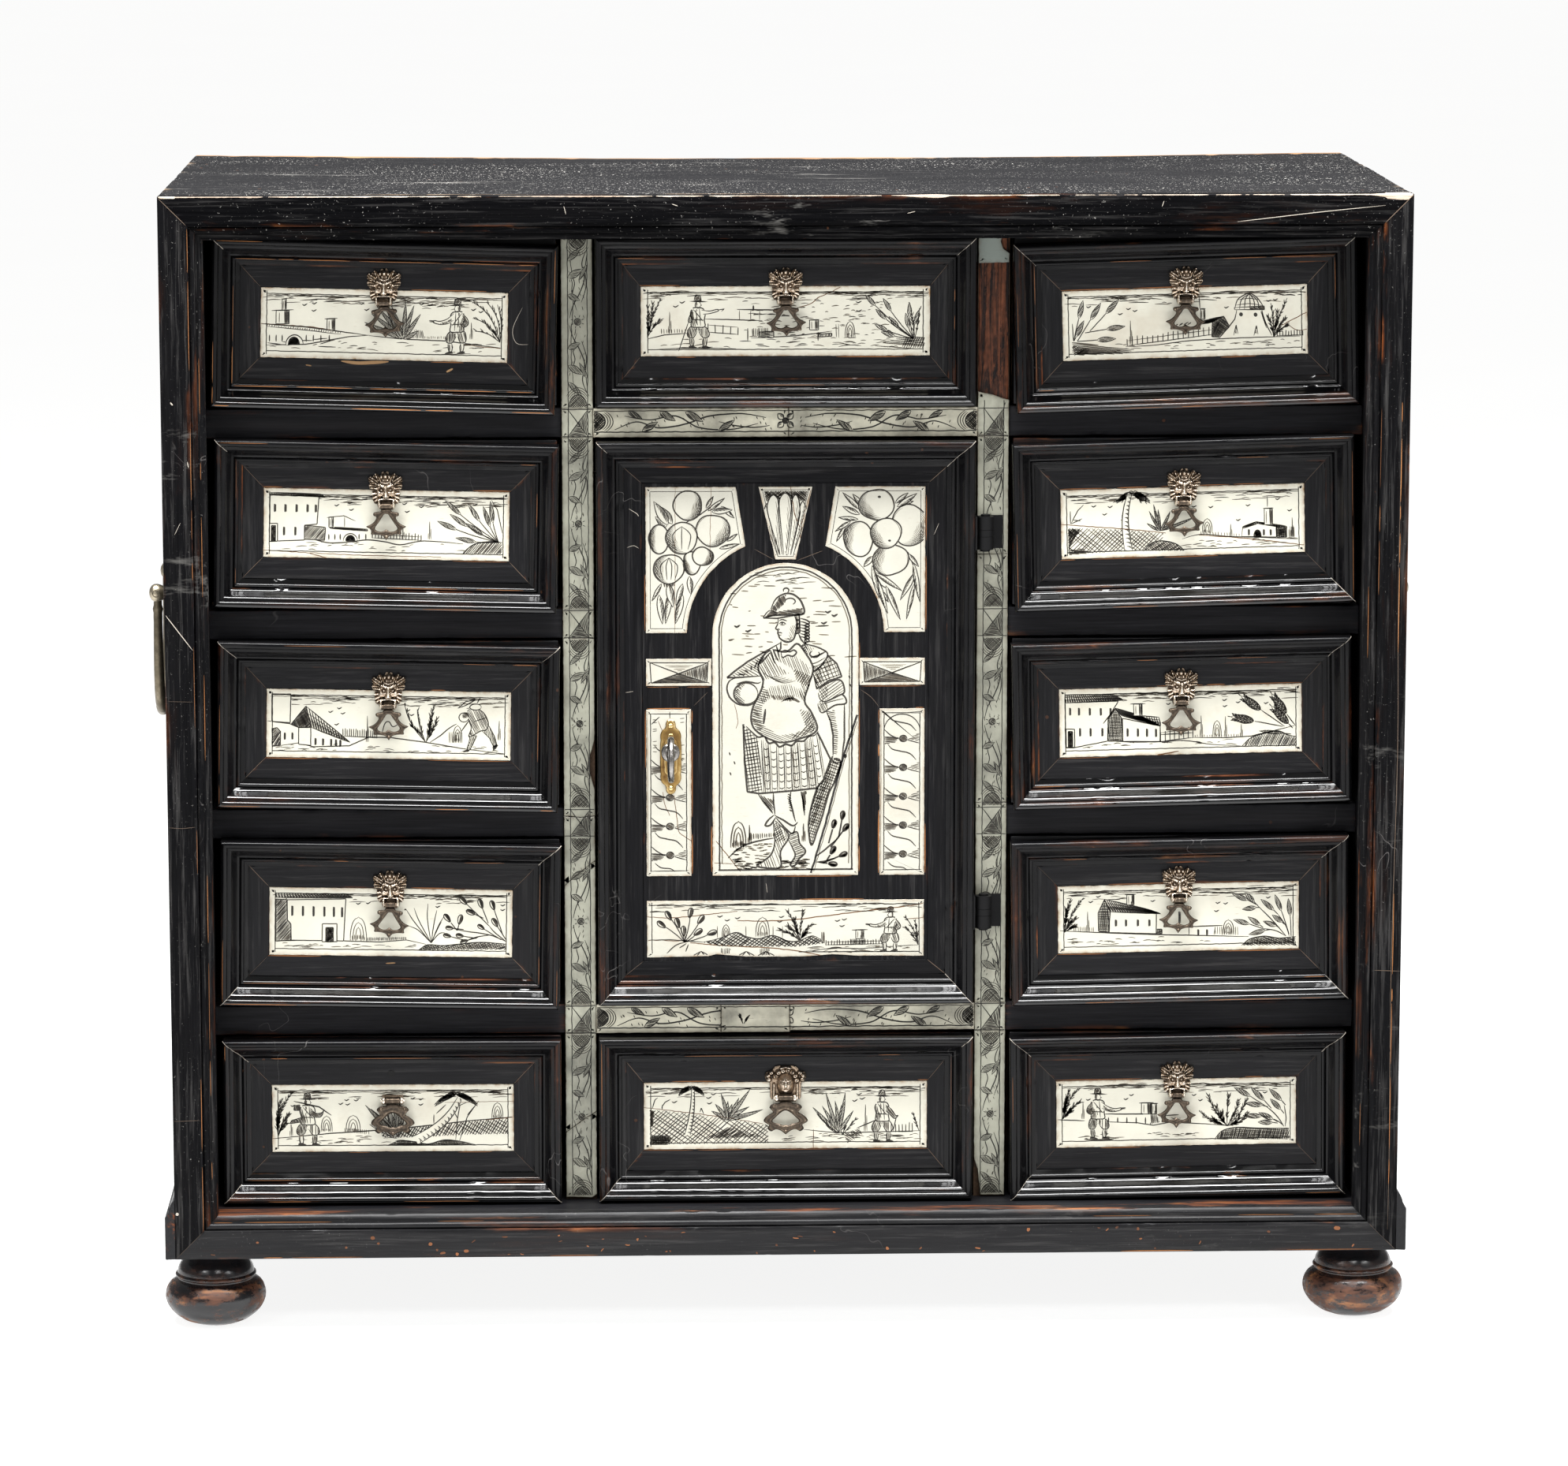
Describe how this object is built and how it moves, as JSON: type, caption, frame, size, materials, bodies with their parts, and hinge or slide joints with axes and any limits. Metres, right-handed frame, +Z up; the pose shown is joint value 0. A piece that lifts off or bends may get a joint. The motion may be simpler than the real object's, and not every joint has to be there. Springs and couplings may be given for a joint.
{
  "type": "table cabinet",
  "caption": "Ebonised table cabinet on bun feet: engraved bone plaques on moulded drawers around a central locking door, mask pulls with hanging drops, swing handles on the sides.",
  "frame": {"origin": "on the floor under the middle of the object's box", "axes": "+Z up, the front faces -Y, +X is the viewer's right"},
  "size_m": [0.662, 0.306, 0.585],
  "materials": {
    "ebonised_wood": "polished black, worn",
    "plain_wood": "bare old softwood",
    "ivory_bone": "polished bone, engraved",
    "grey_bone": "polished grey bone, engraved",
    "aged_brass": "cast, dark patina",
    "gilt_brass": "gilt",
    "black_iron": "blackened",
    "steel": "worn bright"
  },
  "bodies": {
    "carcass": {"carcass_top": "ebonised_wood", "carcass_bottom": "ebonised_wood", "carcass_left_side": "ebonised_wood", "carcass_right_side": "ebonised_wood", "back_panel": "plain_wood", "front_frame": "ebonised_wood", "partitions": "plain_wood", "dust_boards": "ebonised_wood", "bone_strips": "grey_bone", "bun_feet": "ebonised_wood", "side_base_mouldings": "ebonised_wood", "handle_posts": "aged_brass", "hinge_frame_leaves": "black_iron", "hinge_pins": "black_iron"},
    "door": {"door_panel": "ebonised_wood", "door_mouldings": "ebonised_wood", "door_plaques": "ivory_bone", "hinge_door_leaves": "black_iron", "escutcheon": "gilt_brass", "lock_case": "black_iron"},
    "lock_bolt": {"lock_bolt": "steel"},
    "key": {"key": "steel"},
    "left_bail": {"left_bail": "aged_brass"},
    "right_bail": {"right_bail": "aged_brass"},
    "drawer_left_1": {"drawer_left_1": "ebonised_wood", "pull_left_1": "aged_brass"},
    "drop_left_1": {"drop_left_1": "aged_brass"},
    "drawer_left_2": {"drawer_left_2": "ebonised_wood", "pull_left_2": "aged_brass"},
    "drop_left_2": {"drop_left_2": "aged_brass"},
    "drawer_left_3": {"drawer_left_3": "ebonised_wood", "pull_left_3": "aged_brass"},
    "drop_left_3": {"drop_left_3": "aged_brass"},
    "drawer_left_4": {"drawer_left_4": "ebonised_wood", "pull_left_4": "aged_brass"},
    "drop_left_4": {"drop_left_4": "aged_brass"},
    "drawer_left_5": {"drawer_left_5": "ebonised_wood", "pull_left_5": "aged_brass"},
    "drop_left_5": {"drop_left_5": "aged_brass"},
    "drawer_right_1": {"drawer_right_1": "ebonised_wood", "pull_right_1": "aged_brass"},
    "drop_right_1": {"drop_right_1": "aged_brass"},
    "drawer_right_2": {"drawer_right_2": "ebonised_wood", "pull_right_2": "aged_brass"},
    "drop_right_2": {"drop_right_2": "aged_brass"},
    "drawer_right_3": {"drawer_right_3": "ebonised_wood", "pull_right_3": "aged_brass"},
    "drop_right_3": {"drop_right_3": "aged_brass"},
    "drawer_right_4": {"drawer_right_4": "ebonised_wood", "pull_right_4": "aged_brass"},
    "drop_right_4": {"drop_right_4": "aged_brass"},
    "drawer_right_5": {"drawer_right_5": "ebonised_wood", "pull_right_5": "aged_brass"},
    "drop_right_5": {"drop_right_5": "aged_brass"},
    "drawer_centre_top": {"drawer_centre_top": "ebonised_wood", "pull_centre_top": "aged_brass"},
    "drop_centre_top": {"drop_centre_top": "aged_brass"},
    "drawer_centre_bottom": {"drawer_centre_bottom": "ebonised_wood", "pull_centre_bottom": "aged_brass"},
    "drop_centre_bottom": {"drop_centre_bottom": "aged_brass"}
  },
  "joints": [
    {"name": "door_swing", "type": "hinge", "parent": "carcass", "child": "door", "pos_m": [0.102, -0.1192, 0.312], "axis": [0, 0, -1], "range_deg": [-110, 0]},
    {"name": "key_turn", "type": "hinge", "parent": "door", "child": "key", "pos_m": [-0.0592, -0.1143, 0.2975], "axis": [0, 1, 0], "range_deg": [0, 90]},
    {"name": "bolt_throw", "type": "slide", "parent": "door", "child": "lock_bolt", "axis": [-1, 0, 0], "range_m": [0, 0.0081]},
    {"name": "left_bail_swing", "type": "hinge", "parent": "carcass", "child": "left_bail", "pos_m": [-0.3265, 0.003, 0.37], "axis": [0, 1, 0], "range_deg": [0, 110]},
    {"name": "right_bail_swing", "type": "hinge", "parent": "carcass", "child": "right_bail", "pos_m": [0.3265, 0.003, 0.37], "axis": [0, -1, 0], "range_deg": [0, 110]},
    {"name": "slide_left_1", "type": "slide", "parent": "carcass", "child": "drawer_left_1", "axis": [0, -1, 0], "range_m": [0, 0.19]},
    {"name": "lift_left_1", "type": "hinge", "parent": "drawer_left_1", "child": "drop_left_1", "pos_m": [-0.2035, -0.1179, 0.5288], "axis": [-1, 0, 0], "range_deg": [0, 85]},
    {"name": "slide_left_2", "type": "slide", "parent": "carcass", "child": "drawer_left_2", "axis": [0, -1, 0], "range_m": [0, 0.19]},
    {"name": "lift_left_2", "type": "hinge", "parent": "drawer_left_2", "child": "drop_left_2", "pos_m": [-0.2035, -0.1179, 0.4254], "axis": [-1, 0, 0], "range_deg": [0, 85]},
    {"name": "slide_left_3", "type": "slide", "parent": "carcass", "child": "drawer_left_3", "axis": [0, -1, 0], "range_m": [0, 0.19]},
    {"name": "lift_left_3", "type": "hinge", "parent": "drawer_left_3", "child": "drop_left_3", "pos_m": [-0.2035, -0.1179, 0.322], "axis": [-1, 0, 0], "range_deg": [0, 85]},
    {"name": "slide_left_4", "type": "slide", "parent": "carcass", "child": "drawer_left_4", "axis": [0, -1, 0], "range_m": [0, 0.19]},
    {"name": "lift_left_4", "type": "hinge", "parent": "drawer_left_4", "child": "drop_left_4", "pos_m": [-0.2035, -0.1179, 0.2186], "axis": [-1, 0, 0], "range_deg": [0, 85]},
    {"name": "slide_left_5", "type": "slide", "parent": "carcass", "child": "drawer_left_5", "axis": [0, -1, 0], "range_m": [0, 0.19]},
    {"name": "lift_left_5", "type": "hinge", "parent": "drawer_left_5", "child": "drop_left_5", "pos_m": [-0.2035, -0.1179, 0.1152], "axis": [-1, 0, 0], "range_deg": [0, 85]},
    {"name": "slide_right_1", "type": "slide", "parent": "carcass", "child": "drawer_right_1", "axis": [0, -1, 0], "range_m": [0, 0.19]},
    {"name": "lift_right_1", "type": "hinge", "parent": "drawer_right_1", "child": "drop_right_1", "pos_m": [0.2035, -0.1179, 0.5288], "axis": [-1, 0, 0], "range_deg": [0, 85]},
    {"name": "slide_right_2", "type": "slide", "parent": "carcass", "child": "drawer_right_2", "axis": [0, -1, 0], "range_m": [0, 0.19]},
    {"name": "lift_right_2", "type": "hinge", "parent": "drawer_right_2", "child": "drop_right_2", "pos_m": [0.2035, -0.1179, 0.4254], "axis": [-1, 0, 0], "range_deg": [0, 85]},
    {"name": "slide_right_3", "type": "slide", "parent": "carcass", "child": "drawer_right_3", "axis": [0, -1, 0], "range_m": [0, 0.19]},
    {"name": "lift_right_3", "type": "hinge", "parent": "drawer_right_3", "child": "drop_right_3", "pos_m": [0.2035, -0.1179, 0.322], "axis": [-1, 0, 0], "range_deg": [0, 85]},
    {"name": "slide_right_4", "type": "slide", "parent": "carcass", "child": "drawer_right_4", "axis": [0, -1, 0], "range_m": [0, 0.19]},
    {"name": "lift_right_4", "type": "hinge", "parent": "drawer_right_4", "child": "drop_right_4", "pos_m": [0.2035, -0.1179, 0.2186], "axis": [-1, 0, 0], "range_deg": [0, 85]},
    {"name": "slide_right_5", "type": "slide", "parent": "carcass", "child": "drawer_right_5", "axis": [0, -1, 0], "range_m": [0, 0.19]},
    {"name": "lift_right_5", "type": "hinge", "parent": "drawer_right_5", "child": "drop_right_5", "pos_m": [0.2035, -0.1179, 0.1152], "axis": [-1, 0, 0], "range_deg": [0, 85]},
    {"name": "slide_centre_top", "type": "slide", "parent": "carcass", "child": "drawer_centre_top", "axis": [0, -1, 0], "range_m": [0, 0.19]},
    {"name": "lift_centre_top", "type": "hinge", "parent": "drawer_centre_top", "child": "drop_centre_top", "pos_m": [0, -0.1179, 0.5288], "axis": [-1, 0, 0], "range_deg": [0, 85]},
    {"name": "slide_centre_bottom", "type": "slide", "parent": "carcass", "child": "drawer_centre_bottom", "axis": [0, -1, 0], "range_m": [0, 0.19]},
    {"name": "lift_centre_bottom", "type": "hinge", "parent": "drawer_centre_bottom", "child": "drop_centre_bottom", "pos_m": [0, -0.1179, 0.1152], "axis": [-1, 0, 0], "range_deg": [0, 85]}
  ],
  "couplings": [
    {"joint": "bolt_throw", "follows": "key_turn", "m_per_rad": 0.005093}
  ]
}
